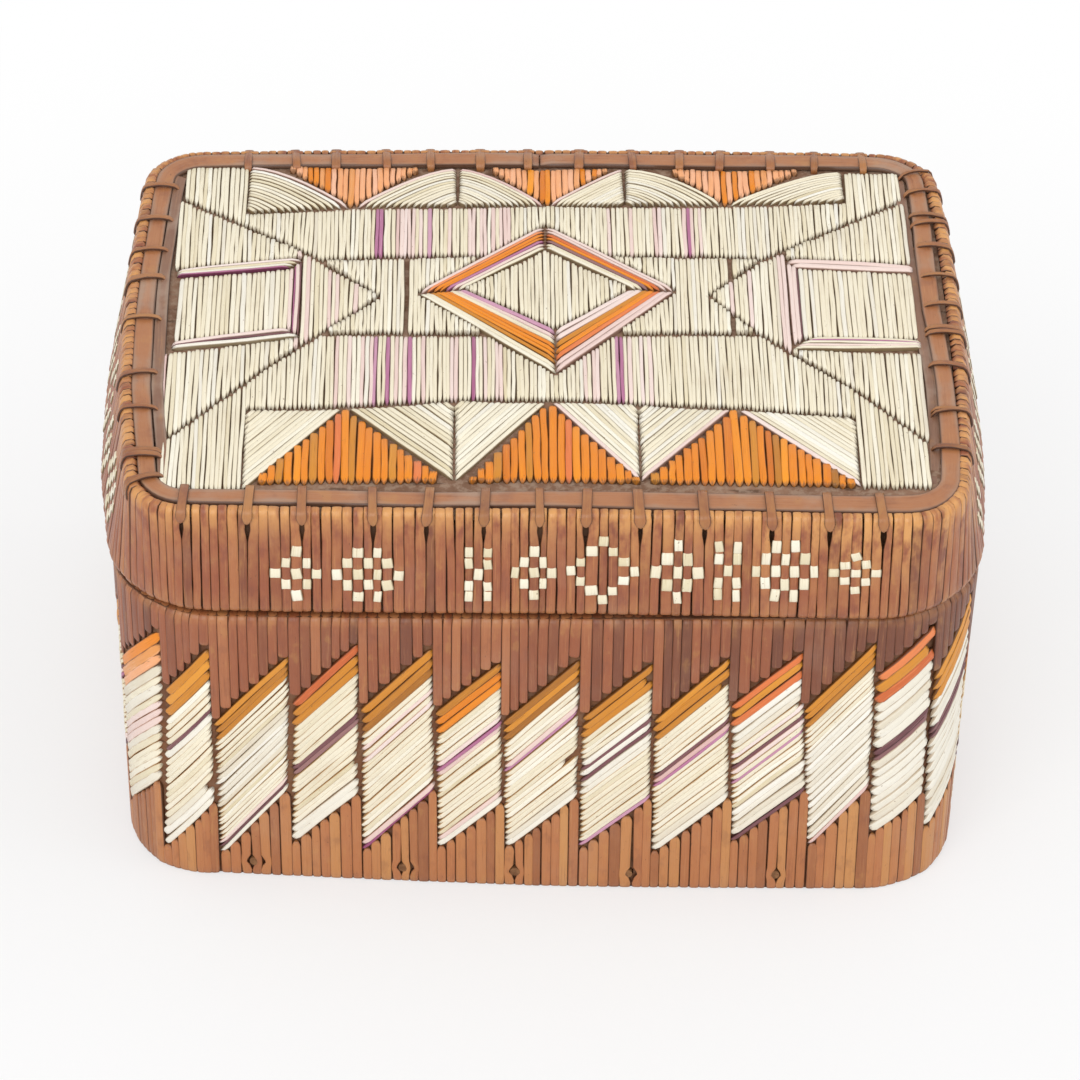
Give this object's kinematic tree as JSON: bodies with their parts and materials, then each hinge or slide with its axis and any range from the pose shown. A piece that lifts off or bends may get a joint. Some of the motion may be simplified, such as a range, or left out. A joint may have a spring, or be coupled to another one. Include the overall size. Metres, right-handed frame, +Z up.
{
  "type": "quill box",
  "caption": "Lidded rectangular birchbark box with slanted quill columns, root-bound edges and a quilled lift-off lid",
  "frame": {"origin": "middle of the rectangle that the box stands on, at floor level", "axes": "+X along the box's width, to its right as seen from the front; -Y towards the front; +Z up"},
  "size_m": [0.2008, 0.1448, 0.1124],
  "materials": {
    "bark": "dry dusty birchbark, matt",
    "liner_bark": "smooth inner birchbark, matt",
    "pine": "planed pine, bare",
    "peg_wood": "whittled wood, bare",
    "root": "split spruce root, worn satin",
    "pale_root": "split spruce root, rubbed paler",
    "cream_quill": "undyed flattened porcupine quill, satin",
    "white_quill": "white flattened porcupine quill, satin",
    "orange_quill": "orange dyed quill, satin",
    "faded_orange_quill": "faded orange dyed quill, satin",
    "pink_quill": "pink and purple dyed quill, satin"
  },
  "bodies": {
    "box": {"base_board": "pine", "body_wall": "bark", "body_liner": "liner_bark", "body_root_band_upper": "root", "body_root_band_lower": "root", "peg_front_1": "peg_wood", "peg_front_2": "peg_wood", "peg_front_3": "peg_wood", "peg_front_4": "peg_wood", "peg_front_5": "peg_wood", "body_quills_front": "cream_quill", "peg_back_1": "peg_wood", "peg_back_2": "peg_wood", "peg_back_3": "peg_wood", "peg_back_4": "peg_wood", "peg_back_5": "peg_wood", "body_quills_back": "cream_quill", "peg_left_1": "peg_wood", "peg_left_2": "peg_wood", "peg_left_3": "peg_wood", "body_quills_left": "cream_quill", "peg_right_1": "peg_wood", "peg_right_2": "peg_wood", "peg_right_3": "peg_wood", "body_quills_right": "cream_quill"},
    "lid": {"lid_rim_core": "bark", "lid_rim_wrap": "root", "lid_lining": "liner_bark", "lid_top_panel": "bark", "lid_hoop": "pale_root", "quill_ground": "cream_quill", "diamond_border": "orange_quill", "diamond_centre": "cream_quill", "lid_lashing_front": "pale_root", "lid_lashing_right": "pale_root", "lid_lashing_back": "pale_root", "lid_lashing_left": "pale_root", "inset_left": "white_quill", "inset_bars_left": "pink_quill", "inset_right": "white_quill", "inset_bars_right": "pink_quill", "triangle_back_1": "faded_orange_quill", "triangle_back_2": "faded_orange_quill", "triangle_back_3": "faded_orange_quill", "fan_back_1": "cream_quill", "fan_back_2": "cream_quill", "fan_back_3": "cream_quill", "fan_back_4": "cream_quill", "triangle_front_1": "orange_quill", "triangle_front_2": "orange_quill", "triangle_front_3": "orange_quill", "fan_front_1": "cream_quill", "fan_front_2": "cream_quill", "fan_front_3": "cream_quill", "fan_front_4": "cream_quill"}
  },
  "joints": [
    {"name": "lid_lift", "type": "slide", "parent": "box", "child": "lid", "axis": [0, 0, 1], "range_m": [0, 0.06]}
  ]
}
